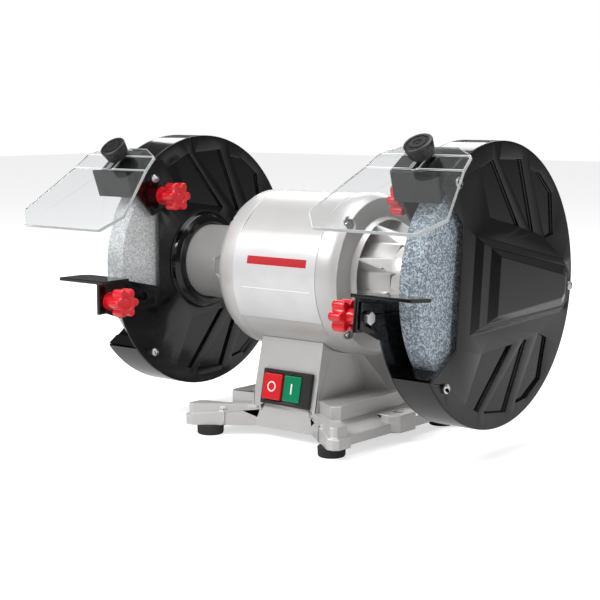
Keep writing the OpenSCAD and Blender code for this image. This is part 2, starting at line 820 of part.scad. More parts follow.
module flange(x0, open_up) {
    translate([x0, 0, 0]) along_x() rotate_extrude() polygon(open_up
        ? [[spindle_r + fit, 0], [flange_r - 6, 0], [flange_r, 2.5], [flange_r, flange_t],
           [flange_r - 7, flange_t], [flange_r - 8, flange_t - 1], [spindle_r + fit, flange_t - 1]]
        : [[spindle_r + fit, 1], [flange_r - 8, 1], [flange_r - 7, 0], [flange_r, 0],
           [flange_r, flange_t - 2.5], [flange_r - 6, flange_t], [spindle_r + fit, flange_t]]);
}

module flanges(side) {
    color([0.66, 0.66, 0.68]) on_shaft(side) {
        flange(flange_in, true);
        flange(flange_out, false);
    }
}

module left_flanges() { flanges(left); }
module right_flanges() { flanges(right); }

module blotters(side) {
    color([0.85, 0.8, 0.6]) on_shaft(side) for (x = [wheel_in - blotter_t, wheel_out])
        tube_x(x, x + blotter_t, flange_r + 3, spindle_r + 1);
}

module left_blotters() { blotters(left); }
module right_blotters() { blotters(right); }

module spindle_nut(side) {
    color([0.7, 0.7, 0.72]) on_shaft(side) difference() {
        translate([nut_in, 0, 0]) along_x() cylinder(h = nut_t, r = 13.5, $fn = 6);
        rod_x(nut_in - cut, nut_in + nut_t + cut, spindle_r + 0.02);
    }
}

module left_spindle_nut() { spindle_nut(left); }
module right_spindle_nut() { spindle_nut(right); }

// ---- tool rests ----

module slot_yz(x0, t, y0, y1, z, half) {
    sheet_yz(x0, t) {
        translate([y0 + half, z]) circle(r = half);
        translate([y1 - half, z]) circle(r = half);
        translate([y0 + half, z - half]) square([y1 - y0 - 2 * half, 2 * half]);
    }
}

module tool_rest(side) {
    color([0.05, 0.05, 0.055]) on_side(side) {
        difference() {
            sheet_yz(leg_in - fit, rest_t) polygon([[leg_front, leg_top - leg_h],
                [leg_front + leg_l, leg_top - leg_h + 3], [leg_front + leg_l, leg_top - 7],
                [leg_front + table_d, leg_top + 1], [leg_front, leg_top + 1]]);
            slot_yz(leg_in - 1, rest_t + 2, slot_front, slot_back, rest_bolt_z, slot_half);
        }
        translate([leg_in - 4, 0, leg_top]) linear_extrude(rest_t) polygon([
            [0, leg_front], [table_w, leg_front], [table_w, leg_front + table_d - 6],
            [table_w - 6, leg_front + table_d], [0, leg_front + table_d]]);
    }
}

// Clamp bolt through a plate that ends at plate_out, with its head on the wheel side
module clamp_bolt(p, clamped) {
    at_yz(p) {
        rod_x(plate_in - clamped - gap - washer_t - knob_neck_l - bolt_in_head, plate_out + 0.02, bolt_r);
        translate([plate_out + 0.02, 0, 0]) along_x() cylinder(h = 4, r = 5.6, $fn = 6);
    }
}

// Lobed hand knob, its neck bearing on a washer against the clamped plate
module clamp_knob(p, clamped) {
    neck_end = plate_in - clamped - gap;
    head_end = neck_end - washer_t - knob_neck_l;
    at_yz(p) difference() {
        union() {
            rod_x(neck_end - washer_t, neck_end, 8);
            rod_x(head_end, neck_end - washer_t, 6.5);
            rod_x(head_end - knob_t, head_end, knob_r - 3.5);
            for (a = [0 : 60 : 300]) rotate([a, 0, 0]) translate([0, 0, knob_r - 3.5])
                rod_x(head_end - knob_t, head_end, 3.6);
        }
        rod_x(head_end - bolt_in_head - 1, neck_end + cut, bolt_r + fit);
    }
}

module left_tool_rest() { tool_rest(left); }
module right_tool_rest() { tool_rest(right); }
module rest_bolt(side) { color([0.8, 0.8, 0.82]) on_side(side) clamp_bolt([rest_bolt_y, rest_bolt_z], rest_t); }
module left_rest_bolt() { rest_bolt(left); }
module right_rest_bolt() { rest_bolt(right); }
module rest_knob(side) { color([0.85, 0.05, 0.06]) on_side(side) clamp_knob([rest_bolt_y, rest_bolt_z], rest_t); }
module left_rest_knob() { rest_knob(left); }
module right_rest_knob() { rest_knob(right); }

// ---- eye shields ----

// Moves children to the shield's bend, with X across, Y up the slope and Z along its normal
module on_slope() {
    translate([shield_x, shield_bend[0], shield_bend[1]]) rotate([shield_slope, 0, 0]) children();
}

// Cuts a slot for the clamp bolt, along an arc about the arm's pivot
module arc_slot(x0, x1) {
    arm = arm_lock - arm_pivot;
    half = bolt_r + fit;
    end_angle = asin(half / norm(arm)) + 1;
    start = atan2(arm[1], arm[0]) - arm_tilt_down - end_angle;
    translate([x0, arm_pivot[0], arm_pivot[1]]) along_x() rotate([0, 0, start + 90])
        rotate_extrude(angle = arm_tilt_up + arm_tilt_down + 2 * end_angle)
            translate([norm(arm) - half, 0]) square([2 * half, x1 - x0]);
}

module shield_arm(side) {
    up = [cos(shield_slope), sin(shield_slope)];
    under = left_of(up) * -arm_t;
    fall = unit([0.36, -1]);
    fold = shield_bend - left_of(up) * fit - up * 2;
    color([0.05, 0.05, 0.055]) on_side(side) difference() {
        union() {
            // tab beside the guard plate
            sheet_yz(arm_in - fit, arm_t) polygon([fold + under, fold + fall * arrester_l * 0.5,
                [-72, 46], [-60, 50], [-44, 77], [-58, 96], fold + up * arm_plate_l]);
            // plate under the shield
            sheet_yz(arm_in - fit, arm_plate_out - arm_in + fit) polygon([fold, fold + under,
                fold + up * arm_plate_l + under, fold + up * arm_plate_l]);
            // spark arrester in front of the wheel
            sheet_yz(arm_in - fit, arrester_out - arm_in + fit) polygon([fold, fold + fall * arrester_l,
                fold + fall * arrester_l + left_of(fall) * arm_t, fold + left_of(fall) * arm_t]);
        }
        at_yz(arm_pivot) rod_x(arm_in - 1, plate_in + 1, 2 + fit);
        arc_slot(arm_in - 1, plate_in + 1);
        on_slope() translate([0, stud_s, -10]) cylinder(h = 20, r = stud_r + fit);
    }
}

module left_shield_arm() { shield_arm(left); }
module right_shield_arm() { shield_arm(right); }
module arm_bolt(side) { color([0.8, 0.8, 0.82]) on_side(side) clamp_bolt(arm_lock, arm_t); }
module left_arm_bolt() { arm_bolt(left); }
module right_arm_bolt() { arm_bolt(right); }
module arm_knob(side) { color([0.85, 0.05, 0.06]) on_side(side) clamp_knob(arm_lock, arm_t); }
module left_arm_knob() { arm_knob(left); }
module right_arm_knob() { arm_knob(right); }

module eye_shield(side) {
    slot_half_w = stud_r + 1;
    slot_end = 3;
    color([0.85, 0.92, 0.95, 0.35]) on_side(side) on_slope() difference() {
        translate([0, 0, gap]) linear_extrude(shield_t) polygon([
            [-shield_front_half, -shield_l], [shield_front_half, -shield_l],
            [shield_wide_half, -shield_l + 19], [shield_front_half - 2, 0],
            [shield_front_half - 5, shield_upper_l], [shield_front_half - 22, shield_top_l],
            [-shield_front_half + 22, shield_top_l], [-shield_front_half + 5, shield_upper_l],
            [-shield_front_half + 2, 0], [-shield_wide_half, -shield_l + 19]]);
        // slot for the stud, open at the top
        translate([0, 0, gap - 1]) linear_extrude(shield_t + 2) {
            translate([0, slot_end]) circle(r = slot_half_w);
            translate([-slot_half_w, slot_end]) square([2 * slot_half_w, shield_top_l]);
        }
    }
}

module left_eye_shield() { eye_shield(left); }
module right_eye_shield() { eye_shield(right); }

module shield_stud(side) {
    color([0.8, 0.8, 0.82]) on_side(side) on_slope() translate([0, stud_s, 0]) {
        translate([0, 0, -arm_t - fit - 2.5]) cylinder(h = 2.5 - 0.02, r = 5);
        translate([0, 0, -arm_t - fit - 1]) cylinder(h = arm_t + shield_t + knurl_h - 4, r = stud_r);
    }
}

module left_shield_stud() { shield_stud(left); }
module right_shield_stud() { shield_stud(right); }

module shield_knob(side) {
    color([0.06, 0.06, 0.06]) on_side(side) on_slope() translate([0, stud_s, 2 * gap + shield_t]) difference() {
        union() {
            cylinder(h = 2, r = knurl_r - 3);
            translate([0, 0, 2]) cylinder(h = knurl_h - 3.5, r1 = knurl_r - 1.6, r2 = knurl_r);
            translate([0, 0, knurl_h - 1.5]) cylinder(h = 1.5, r = knurl_r - 1.2);
        }
        translate([0, 0, -cut]) cylinder(h = knurl_h - 4, r = stud_r + fit);
        translate([0, 0, knurl_h - 1]) difference() {
            cylinder(h = 3, r = knurl_r - 3.5);
            translate([0, 0, -1]) cylinder(h = 5, r = 4);
        }
    }
}

module left_shield_knob() { shield_knob(left); }
module right_shield_knob() { shield_knob(right); }

// The origin is on the bench, under the middle of the whole machine
translate([0, origin_y, 0]) {
    base();
    base_plate();
    rubber_feet();
    foot_screws();
    motor_housing();
    left_bell();
    right_bell();
    bell_screws();
    rating_plate();
    stator_core();
    stator_windings();
    rotor_core();
    shaft();
    left_bearing();
    right_bearing();
    wave_washer();
    capacitor();
    capacitor_clip();
    switch_housing();
    stop_button();
    start_button();
    cable_gland();
    left_guard_plate();
    left_guard_band();
    left_guard_cover();
    left_guard_screws();
    left_wheel();
    left_flanges();
    left_blotters();
    left_spindle_nut();
    left_tool_rest();
    left_rest_bolt();
    left_rest_knob();
    left_shield_arm();
    left_arm_bolt();
    left_arm_knob();
    left_eye_shield();
    left_shield_stud();
    left_shield_knob();
    right_guard_plate();
    right_guard_band();
    right_guard_cover();
    right_guard_screws();
    right_wheel();
    right_flanges();
    right_blotters();
    right_spindle_nut();
    right_tool_rest();
    right_rest_bolt();
    right_rest_knob();
    right_shield_arm();
    right_arm_bolt();
    right_arm_knob();
    right_eye_shield();
    right_shield_stud();
    right_shield_knob();
}
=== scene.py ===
import json
import math

import bmesh
import bpy
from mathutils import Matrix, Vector


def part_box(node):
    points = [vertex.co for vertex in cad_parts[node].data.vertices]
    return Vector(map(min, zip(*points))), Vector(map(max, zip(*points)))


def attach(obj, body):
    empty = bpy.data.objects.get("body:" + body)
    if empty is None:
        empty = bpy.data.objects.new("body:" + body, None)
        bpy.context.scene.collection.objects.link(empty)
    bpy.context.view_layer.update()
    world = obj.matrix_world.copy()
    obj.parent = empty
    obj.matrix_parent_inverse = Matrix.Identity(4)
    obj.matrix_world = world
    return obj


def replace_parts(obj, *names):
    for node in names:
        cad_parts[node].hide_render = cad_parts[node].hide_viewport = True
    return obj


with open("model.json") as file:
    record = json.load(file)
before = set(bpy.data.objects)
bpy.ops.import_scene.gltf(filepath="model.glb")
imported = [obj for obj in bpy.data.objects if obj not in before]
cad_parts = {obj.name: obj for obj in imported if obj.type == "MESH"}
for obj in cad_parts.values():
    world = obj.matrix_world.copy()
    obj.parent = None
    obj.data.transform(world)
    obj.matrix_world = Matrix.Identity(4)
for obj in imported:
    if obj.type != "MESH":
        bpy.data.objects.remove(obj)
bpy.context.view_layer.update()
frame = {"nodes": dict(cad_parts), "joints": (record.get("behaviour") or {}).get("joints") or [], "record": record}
nodes = frame["nodes"]
record = frame["record"]
joints = {joint["name"]: joint for joint in frame["joints"]}
body_of = {node: body for body, members in record["behaviour"]["bodies"].items() for node in members}
slot_of = {part["node"]: part["material_slot"] for part in record["subparts"]}
_, shaft_y, shaft_z = joints["rotor_spin"]["pos_m"]
SIDES = ("left", "right")
MM = 0.001


# ---- node helpers, used by the materials and by the studio ----

def feed(tree, value, socket):
    """Link an output to a socket, or set the socket to a number or an RGB colour."""
    if isinstance(value, bpy.types.NodeSocket):
        tree.links.new(value, socket)
    elif isinstance(value, (int, float)):
        socket.default_value = value
    else:
        socket.default_value = (*value, 1.0)


def calculate(tree, operation, a, b=0.0):
    node = tree.nodes.new("ShaderNodeMath")
    node.operation = operation
    feed(tree, a, node.inputs[0])
    feed(tree, b, node.inputs[1])
    return node.outputs[0]


# ---- materials ----

# the colour sockets of ShaderNodeMix, whose names repeat
MIX_FACTOR, MIX_A, MIX_B, MIX_RESULT = 0, 6, 7, 2


class Shader:
    """A Principled material with helpers that add the nodes feeding it."""

    def __init__(self, name, rough, metallic=0.0, **fixed):
        self.mat = bpy.data.materials.new(name)
        self.mat.use_nodes = True
        self.tree = self.mat.node_tree
        self.bsdf = self.tree.nodes["Principled BSDF"]
        self.bsdf.inputs["Metallic"].default_value = metallic
        self.bsdf.inputs["Roughness"].default_value = rough
        for key, value in fixed.items():
            self.bsdf.inputs[key.replace("_", " ")].default_value = value
        self.coords = self.add("ShaderNodeTexCoord").outputs["Object"]

    def add(self, kind, **props):
        node = self.tree.nodes.new(kind)
        for key, value in props.items():
            setattr(node, key, value)
        return node

    def link(self, output, socket):
        self.tree.links.new(output, socket)

    def noise(self, scale, detail=3.0, rough=0.55):
        node = self.add("ShaderNodeTexNoise")
        node.inputs["Scale"].default_value = scale
        node.inputs["Detail"].default_value = detail
        node.inputs["Roughness"].default_value = rough
        self.link(self.coords, node.inputs["Vector"])
        return node.outputs["Fac"]

    def cell_tone(self, scale):
        """A random value from 0 to 1 in each cell of a Voronoi pattern."""
        cells = self.add("ShaderNodeTexVoronoi")
        cells.inputs["Scale"].default_value = scale
        self.link(self.coords, cells.inputs["Vector"])
        channels = self.add("ShaderNodeSeparateColor")
        self.link(cells.outputs["Color"], channels.inputs["Color"])
        return channels.outputs["Red"]

    def ramp(self, fac, stops):
        node = self.add("ShaderNodeValToRGB")
        elements = node.color_ramp.elements
        while len(elements) < len(stops):
            elements.new(0.5)
        for element, (position, col) in zip(elements, stops):
            element.position = position
            element.color = (*col, 1.0)
        self.link(fac, node.inputs["Fac"])
        return node.outputs["Color"]

    def mix(self, fac, a, b):
        node = self.add("ShaderNodeMix", data_type="RGBA")
        for value, index in ((fac, MIX_FACTOR), (a, MIX_A), (b, MIX_B)):
            feed(self.tree, value, node.inputs[index])
        return node.outputs[MIX_RESULT]

    def calc(self, operation, a, b=0.0):
        return calculate(self.tree, operation, a, b)

    def color(self, output):
        self.link(output, self.bsdf.inputs["Base Color"])

    def roughness(self, fac, low, high):
        node = self.add("ShaderNodeMapRange")
        node.inputs["To Min"].default_value = low
        node.inputs["To Max"].default_value = high
        self.link(fac, node.inputs["Value"])
        self.link(node.outputs["Result"], self.bsdf.inputs["Roughness"])

    def bump(self, height, strength, distance):
        node = self.add("ShaderNodeBump")
        node.inputs["Strength"].default_value = strength
        node.inputs["Distance"].default_value = distance
        self.link(height, node.inputs["Height"])
        self.link(node.outputs["Normal"], self.bsdf.inputs["Normal"])


def shade(col, share):
    return tuple(channel * share for channel in col)


def coated(name, col, rough, spread, metallic=0.0, grain=900.0, depth=0.04 * MM, vary=0.10, **fixed):
    """Paint, plastic or metal: soft colour variation, uneven gloss and a fine surface grain."""
    s = Shader(name, rough, metallic, **fixed)
    patches = s.noise(14.0, 4.0)
    s.color(s.ramp(patches, [(0.3, shade(col, 1 - vary)), (0.7, shade(col, 1 + vary * 0.4))]))
    s.roughness(s.noise(60.0, 5.0), rough - spread, rough + spread)
    s.bump(s.noise(grain, 2.0), 0.35, depth)
    return s.mat


def abrasive(name, scale, dark, mid, light):
    """A vitrified wheel: grains of three tones, dulled in patches, with fine pits."""
    s = Shader(name, 0.85, Specular_IOR_Level=0.3)
    speckle = s.ramp(s.cell_tone(scale), [(0.15, dark), (0.5, mid), (0.85, light)])
    dulled = s.calc("MULTIPLY", s.noise(scale * 0.2, 4.0), 0.45)
    s.color(s.mix(dulled, speckle, mid))
    s.bump(s.noise(scale * 0.8, 4.0), 0.5, 0.4 * MM)
    return s.mat


# the label's print, as (lowest x, highest x), (lowest z, highest z) in mm from the shaft's middle
RED_BAR = ((-30, 36), (10, 17))
PALE_RULE = ((-36, 40), (-11, -10.2))


def foil():
    """The motor's label: light foil with a plain red bar and a thin pale rule under it."""
    s = Shader("rating_foil", 0.34, 0.25, Specular_IOR_Level=0.5)
    axes = s.add("ShaderNodeSeparateXYZ")
    s.link(s.coords, axes.inputs["Vector"])

    def between(value, low, high):
        above = s.calc("GREATER_THAN", value, low)
        return s.calc("MULTIPLY", above, s.calc("LESS_THAN", value, high))

    def inside(print_area):
        (x_low, x_high), (z_low, z_high) = print_area
        level = between(axes.outputs["Z"], shaft_z + z_low * MM, shaft_z + z_high * MM)
        return s.calc("MULTIPLY", level, between(axes.outputs["X"], x_low * MM, x_high * MM))

    paper = s.ramp(s.noise(30.0, 3.0), [(0.3, (0.60, 0.60, 0.61)), (0.7, (0.68, 0.68, 0.69))])
    barred = s.mix(inside(RED_BAR), paper, (0.55, 0.02, 0.03))
    s.color(s.mix(inside(PALE_RULE), barred, (0.85, 0.85, 0.85)))
    s.bump(s.noise(500.0, 2.0), 0.2, 0.02 * MM)
    return s.mat


CREASE_HALF = 0.45 * MM
CREASE_HAZE = 0.5
CREASE_ROUGH = 0.35


def clear(name, tint, rough, transmission, fold=None):
    """Clear sheet; fold is (direction, distances along it) of its creases, which catch the light."""
    s = Shader(name, rough, IOR=1.46, Transmission_Weight=transmission)
    s.color(s.ramp(s.noise(25.0, 3.0), [(0.3, shade(tint, 0.98)), (0.7, tint)]))
    if fold is None:
        s.roughness(s.noise(90.0, 5.0), rough, rough + 0.03)
        return s.mat
    direction, places = fold
    reach = s.add("ShaderNodeVectorMath", operation="DOT_PRODUCT")
    s.link(s.coords, reach.inputs[0])
    reach.inputs[1].default_value = direction
    creased = 0.0
    for place in places:
        distance = s.calc("ABSOLUTE", s.calc("SUBTRACT", reach.outputs["Value"], place))
        creased = s.calc("ADD", creased, s.calc("LESS_THAN", distance, CREASE_HALF))
    clearness = s.calc("SUBTRACT", transmission, s.calc("MULTIPLY", creased, CREASE_HAZE))
    s.link(clearness, s.bsdf.inputs["Transmission Weight"])
    s.roughness(creased, rough, CREASE_ROUGH)
    return s.mat


SHEET_TINT, SHEET_ROUGH = (0.96, 0.98, 0.985), 0.02

materials = {
    "silver_paint": coated("silver_paint", (0.55, 0.54, 0.53), 0.38, 0.06, 0.35, 1400.0, 0.06 * MM, 0.05,
                           Coat_Weight=0.25, Coat_Roughness=0.2),
    "zinc_plate": coated("zinc_plate", (0.55, 0.56, 0.58), 0.35, 0.1, 0.9),
    "foot_rubber": coated("foot_rubber", (0.015, 0.015, 0.015), 0.75, 0.1),
    "screw_steel": coated("screw_steel", (0.72, 0.72, 0.74), 0.22, 0.08, 0.95),
    "rating_foil": foil(),
    "lamination_steel": coated("lamination_steel", (0.3, 0.31, 0.33), 0.45, 0.1, 0.8),
    "winding_enamel": coated("winding_enamel", (0.5, 0.18, 0.05), 0.3, 0.1, 0.4),
    "turned_steel": coated("turned_steel", (0.6, 0.6, 0.62), 0.25, 0.08, 0.95),
    "capacitor_can": coated("capacitor_can", (0.75, 0.75, 0.76), 0.35, 0.1, 0.8),
    "black_plastic": coated("black_plastic", (0.012, 0.012, 0.013), 0.4, 0.08, depth=0.1 * MM),
    "stop_red": coated("stop_red", (0.62, 0.012, 0.018), 0.25, 0.05, vary=0.06),
    "start_green": coated("start_green", (0.0, 0.20, 0.085), 0.25, 0.05, vary=0.06),
    "guard_black": coated("guard_black", (0.002, 0.002, 0.0022), 0.12, 0.04, grain=420.0, depth=0.03 * MM,
                          Specular_IOR_Level=0.5),
    "knob_red": coated("knob_red", (0.62, 0.008, 0.016), 0.22, 0.06, vary=0.08, Coat_Weight=0.3),
    "knurled_black": coated("knurled_black", (0.010, 0.010, 0.010), 0.42, 0.08, depth=0.1 * MM),
    "blotter_card": coated("blotter_card", (0.7, 0.62, 0.45), 0.8, 0.08),
    "fine_wheel": abrasive("fine_wheel", 1000.0, (0.38, 0.40, 0.42), (0.58, 0.60, 0.61),
                           (0.80, 0.81, 0.81)),
    "coarse_wheel": abrasive("coarse_wheel", 800.0, (0.12, 0.15, 0.19), (0.27, 0.32, 0.37),
                             (0.62, 0.68, 0.72)),
    "clear_shield": clear("clear_shield", SHEET_TINT, SHEET_ROUGH, 1.0),
}
print_white = coated("print_white", (0.85, 0.85, 0.85), 0.35, 0.05)
shield_edge = clear("shield_edge", (0.93, 0.97, 0.98), 0.3, 0.55)

for name, node in nodes.items():
    for material_slot in node.material_slots:
        material_slot.material = materials[slot_of[name]]


# ---- mesh helpers ----

def new_piece(name, mesh, body, material):
    piece = bpy.data.objects.new(name, mesh)
    bpy.context.scene.collection.objects.link(piece)
    mesh.materials.clear()
    mesh.materials.append(material)
    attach(piece, body)
    return piece


def like_node(name, mesh, node):
    """A piece that rides and is finished as a CAD node is."""
    return new_piece(name, mesh, body_of[node], materials[slot_of[node]])


def mark_sharp(bm, angle):
    for face in bm.faces:
        face.smooth = True
    for edge in bm.edges:
        edge.smooth = len(edge.link_faces) == 2 and edge.calc_face_angle(0.0) < angle


def finish_mesh(name, bm, sharp_degrees=40.0):
    bmesh.ops.recalc_face_normals(bm, faces=bm.faces)
    mark_sharp(bm, math.radians(sharp_degrees))
    mesh = bpy.data.meshes.new(name)
    bm.to_mesh(mesh)
    bm.free()
    return mesh


def basis(axis):
    """The axis and two directions square to it and to each other."""
    axis = Vector(axis).normalized()
    side = axis.cross(Vector((0.0, 0.0, 1.0)))
    if side.length < 1e-3:
        side = axis.cross(Vector((0.0, 1.0, 0.0)))
    side.normalize()
    return axis, side, axis.cross(side)


def ring(centre, u, v, radii):
    """Points round a centre, one for each radius, at equal steps of angle."""
    points = []
    for i, radius in enumerate(radii):
        angle = 2 * math.pi * i / len(radii)
        points.append(centre + (u * math.cos(angle) + v * math.sin(angle)) * radius)
    return points


def tube(bm, rings):
    """Faces between successive rings of points; a ring of one point closes an end."""
    rows = [[bm.verts.new(point) for point in points] for points in rings]
    for a, b in zip(rows, rows[1:]):
        steps = max(len(a), len(b))
        for i in range(steps):
            j = (i + 1) % steps
            if len(a) == 1:
                bm.faces.new((a[0], b[j], b[i]))
            elif len(b) == 1:
                bm.faces.new((a[i], a[j], b[0]))
            else:
                bm.faces.new((a[i], a[j], b[j], b[i]))
    return rows


RIBBED = True
RIB_CLIP = 0.6


def rib_share(turn, ribs):
    """How much of the rib depth is cut away after that share of a turn, from 0 on a rib to 1 between two."""
    wave = math.cos(ribs * 2 * math.pi * turn)
    return (1 - max(-RIB_CLIP, min(RIB_CLIP, wave)) / RIB_CLIP) / 2


def turned(origin, axis, profile, steps=96, ribs=0, rib_depth=0.0):
    """Rings of a turned shape from (radius, height) points; those marked RIBBED carry knurling."""
    axis, u, v = basis(axis)
    rings = []
    for radius, height, *ribbed in profile:
        centre = origin + axis * height
        if radius <= 0:
            rings.append([centre])
            continue
        depth = rib_depth if ribbed else 0.0
        rings.append(ring(centre, u, v, [radius - depth * rib_share(i / steps, ribs) for i in range(steps)]))
    return rings


def along(node, axis):
    """Lowest and highest reach of a CAD node along an axis through the world origin."""
    reach = [Vector(vertex.co).dot(axis) for vertex in nodes[node].data.vertices]
    return min(reach), max(reach)


# ---- CAD nodes with eased edges ----

EASE_SEGMENTS = 3
HARD_EDGE = 32.0
PRESSED_EDGE = 16.0
PRESSED_SHEETS = ("guard_cover", "guard_plate")
WELD = 2e-6


def ease(node, width):
    """A copy of a CAD node whose hard edges are rounded by width."""
    bm = bmesh.new()
    bm.from_mesh(nodes[node].data)
    bmesh.ops.remove_doubles(bm, verts=bm.verts, dist=WELD)
    limit = math.radians(PRESSED_EDGE if node.endswith(PRESSED_SHEETS) else HARD_EDGE)
    mark_sharp(bm, limit)
    mesh = bpy.data.meshes.new(node + "_eased")
    bm.to_mesh(mesh)
    bm.free()
    piece = like_node(node + "_eased", mesh, node)
    bevel = piece.modifiers.new("ease", "BEVEL")
    bevel.width = width
    bevel.segments = EASE_SEGMENTS
    bevel.limit_method = "ANGLE"
    bevel.angle_limit = limit
    bevel.use_clamp_overlap = False
    bevel.harden_normals = True
    bevel.miter_outer = "MITER_ARC"
    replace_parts(piece, node)
    return piece


# width of the rounding in mm, for the nodes that are there once and those on each side
ROUND = {
    "base": 1.1, "motor_housing": 0.8, "left_bell": 0.8, "right_bell": 0.8, "rubber_feet": 0.8,
    "bell_screws": 0.3, "foot_screws": 0.4, "switch_housing": 0.7, "stop_button": 1.1, "start_button": 1.1,
    "cable_gland": 0.5, "capacitor_clip": 0.3,
}
SIDE_ROUND = {
    "guard_plate": 0.6, "guard_band": 0.4, "guard_cover": 0.75, "guard_screws": 0.8, "wheel": 0.8,
    "flanges": 0.5, "spindle_nut": 0.7, "tool_rest": 0.5, "rest_bolt": 0.6,
    "shield_arm": 0.45, "arm_bolt": 0.6, "eye_shield": 0.35, "shield_stud": 0.4,
}
eased = {node: ease(node, width * MM) for node, width in ROUND.items()}
for side in SIDES:
    for part, width in SIDE_ROUND.items():
        eased[side + "_" + part] = ease(side + "_" + part, width * MM)


# ---- clear shields: milky edges and two creases ----

FOLDS = (-16 * MM, 2 * MM)


def across(normal, axis):
    return abs(normal.dot(axis)) < 0.5


def finish_shield(side):
    shield = eased[side + "_eye_shield"]
    knob = joints[side + "_shield_knob_turn"]
    normal = Vector(knob["axis"])
    shield.data.materials.append(shield_edge)
    for face in shield.data.polygons:
        if across(face.normal, normal):
            face.material_index = 1
    shield.modifiers["ease"].material = 1
    slope = joints[side + "_shield_slide"]["axis"]
    stud = Vector(knob["pos_m"]).dot(Vector(slope))
    creases = tuple(stud + fold for fold in FOLDS)
    shield.data.materials[0] = clear(side + "_shield_sheet", SHEET_TINT, SHEET_ROUGH, 1.0, (slope, creases))


for side in SIDES:
    finish_shield(side)


# ---- red hand knobs ----

LOBES = 6
LOBE_STEPS = 240
LOBE_SMOOTHING = 6
ARC_STEPS = 6
KNOB_RIM = 1.7 * MM


def lobed_outline(big):
    """Radii round a lobed hand knob of outer radius big, with soft hollows between the lobes."""
    lobe_r, lobe_centre, core = 0.27 * big, 0.73 * big, 0.70 * big
    pitch = 2 * math.pi / LOBES
    radii = []
    for i in range(LOBE_STEPS):
        from_lobe = (2 * math.pi * i / LOBE_STEPS + pitch / 2) % pitch - pitch / 2
        reach = lobe_r ** 2 - (lobe_centre * math.sin(from_lobe)) ** 2
        on_lobe = lobe_centre * math.cos(from_lobe) + math.sqrt(reach) if reach > 0 else core
        radii.append(max(core, on_lobe))
    for _ in range(LOBE_SMOOTHING):
        radii = [(radii[i - 1] + radii[i] * 2 + radii[(i + 1) % LOBE_STEPS]) / 4 for i in range(LOBE_STEPS)]
    return radii


def hand_knob(node):
    """The red knob: a lobed head with rounded rims and a sunk centre, on a neck with a washer."""
    low, high = [Vector(corner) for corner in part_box(node)]
    centre = (low + high) / 2
    outer_end = high.x if centre.x > 0 else low.x
    axis, u, v = basis((-1.0 if centre.x > 0 else 1.0, 0.0, 0.0))
    origin = Vector((outer_end, centre.y, centre.z))
    length, big = high.x - low.x, (high.z - low.z) / 2
    neck, washer = length * 0.50, length * 0.05
    bore_r, neck_r = big * 0.235, big * 0.47
    bm = bmesh.new()
    tube(bm, turned(origin, axis, [
        (bore_r, 0), (neck_r * 1.22, 0), (neck_r * 1.28, washer * 0.3), (neck_r * 1.28, washer),
        (neck_r, washer), (neck_r * 0.94, neck * 0.5), (neck_r, neck), (neck_r * 1.2, neck + 0.8 * MM),
    ]))

    radii = lobed_outline(big)

    def lobed(shrink, height, share=1.0):
        return ring(origin + axis * height, u, v, [(radius - shrink) * share for radius in radii])

    def round_ring(share, height):
        return ring(origin + axis * height, u, v, [big * share] * LOBE_STEPS)

    quarter = [math.pi / 2 * k / ARC_STEPS for k in range(ARC_STEPS + 1)]
    rings = [[origin + axis * neck], lobed(KNOB_RIM, neck, 0.4)]
    rings += [lobed(KNOB_RIM * (1 - math.sin(a)), neck + KNOB_RIM * (1 - math.cos(a))) for a in quarter]
    rings += [lobed(KNOB_RIM * (1 - math.cos(a)), length - KNOB_RIM * (1 - math.sin(a))) for a in quarter]
    sunk_centre = ((0.50, 0), (0.46, 0.25), (0.43, 1.0), (0.26, 1.0), (0.23, 0.5))
    rings += [round_ring(share, length - depth * MM) for share, depth in sunk_centre]
    rings.append([origin + axis * (length - 0.4 * MM)])
    tube(bm, rings)
    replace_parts(like_node(node + "_lobed", finish_mesh(node + "_lobed", bm), node), node)


# ---- knurled shield knobs ----

KNURL_STEPS, KNURLS, KNURL_DEPTH = 192, 32, 0.55 * MM
KNURL_BORE = 3.1 * MM


def knurled_knob(side):
    """The black knob on the shield: a foot, a flaring knurled grip, and a cap with a sunk ring."""
    turn = joints[side + "_shield_knob_turn"]
    axis = Vector(turn["axis"]).normalized()
    centre = Vector(turn["pos_m"])
    low, high = along(side + "_shield_knob", axis)
    foot = centre + axis * (low - centre.dot(axis))
    top = high - low
    from_centre = [Vector(vertex.co) - centre for vertex in nodes[side + "_shield_knob"].data.vertices]
    big = max((arm - axis * arm.dot(axis)).length for arm in from_centre)
    profile = [
        (KNURL_BORE, 0), (big * 0.7, 0), (big * 0.76, 0.4 * MM), (big * 0.76, 1.6 * MM),
        (big * 0.84, 2.0 * MM), (big * 0.87, 2.4 * MM, RIBBED), (big * 0.97, top - 3.4 * MM, RIBBED),
        (big * 0.93, top - 3.0 * MM), (big * 0.93, top - 2.4 * MM), (big * 0.99, top - 2.0 * MM),
        (big, top - 1.4 * MM), (big * 0.98, top - 0.5 * MM), (big * 0.92, top),
        (big * 0.74, top), (big * 0.71, top - 0.9 * MM), (big * 0.60, top - 0.9 * MM),
        (big * 0.57, top), (big * 0.30, top), (big * 0.27, top - 0.9 * MM),
        (big * 0.16, top - 0.9 * MM), (big * 0.13, top - 0.3 * MM), (0, top - 0.3 * MM),
    ]
    bm = bmesh.new()
    tube(bm, turned(foot, axis, profile, KNURL_STEPS, KNURLS, KNURL_DEPTH))
    mesh = finish_mesh(side + "_knurled_knob", bm)
    knob = new_piece(side + "_knurled_knob", mesh, side + "_shield_knob",
                     materials["knurled_black"])
    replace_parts(knob, side + "_shield_knob")


for side in SIDES:
    hand_knob(side + "_rest_knob")
    hand_knob(side + "_arm_knob")
    knurled_knob(side)


# ---- raised marks on the buttons ----

